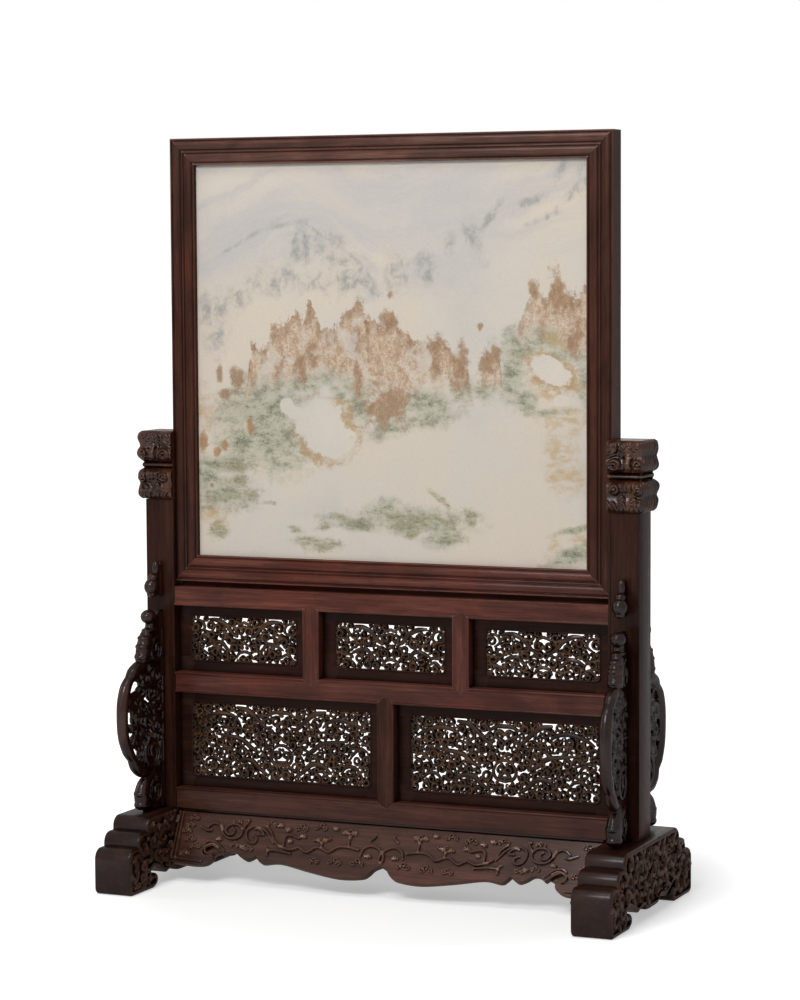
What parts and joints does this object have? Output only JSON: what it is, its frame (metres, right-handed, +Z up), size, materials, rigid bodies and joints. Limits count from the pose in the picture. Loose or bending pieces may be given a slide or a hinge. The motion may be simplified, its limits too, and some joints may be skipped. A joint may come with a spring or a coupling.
{
  "type": "table screen",
  "caption": "Free-standing table screen: a framed marble panel that lifts out of a carved hardwood stand with pierced boards, scalloped aprons, bow-shaped spandrels and stepped feet.",
  "frame": {"origin": "on the floor under the middle of the stand", "axes": "+Z up, +X to the right seen from the front, front towards -Y"},
  "size_m": [0.5234, 0.228, 0.72],
  "materials": {
    "rosewood": "polished dark reddish hardwood",
    "carved_rosewood": "carved dark hardwood, waxed",
    "marble": "polished veined marble",
    "back_wood": "plain oiled wood"
  },
  "bodies": {
    "stand": {"left_foot": "carved_rosewood", "right_foot": "carved_rosewood", "left_post": "rosewood", "right_post": "rosewood", "front_left_spandrel": "carved_rosewood", "front_right_spandrel": "carved_rosewood", "back_left_spandrel": "carved_rosewood", "back_right_spandrel": "carved_rosewood", "stand_top_rail": "rosewood", "stand_middle_rail": "rosewood", "stand_bottom_rail": "rosewood", "upper_left_muntin": "rosewood", "upper_right_muntin": "rosewood", "lower_muntin": "rosewood", "upper_left_openwork": "carved_rosewood", "upper_middle_openwork": "carved_rosewood", "upper_right_openwork": "carved_rosewood", "lower_left_openwork": "carved_rosewood", "lower_right_openwork": "carved_rosewood", "front_apron": "carved_rosewood", "back_apron": "carved_rosewood"},
    "panel": {"panel_top_rail": "rosewood", "panel_bottom_rail": "rosewood", "panel_left_stile": "rosewood", "panel_right_stile": "rosewood", "marble_slab": "marble", "panel_backboard": "back_wood", "upper_batten": "rosewood", "lower_batten": "rosewood"}
  },
  "joints": [
    {"name": "panel_lift", "type": "slide", "parent": "stand", "child": "panel", "axis": [0, 0, 1], "range_m": [0, 0.16]}
  ]
}
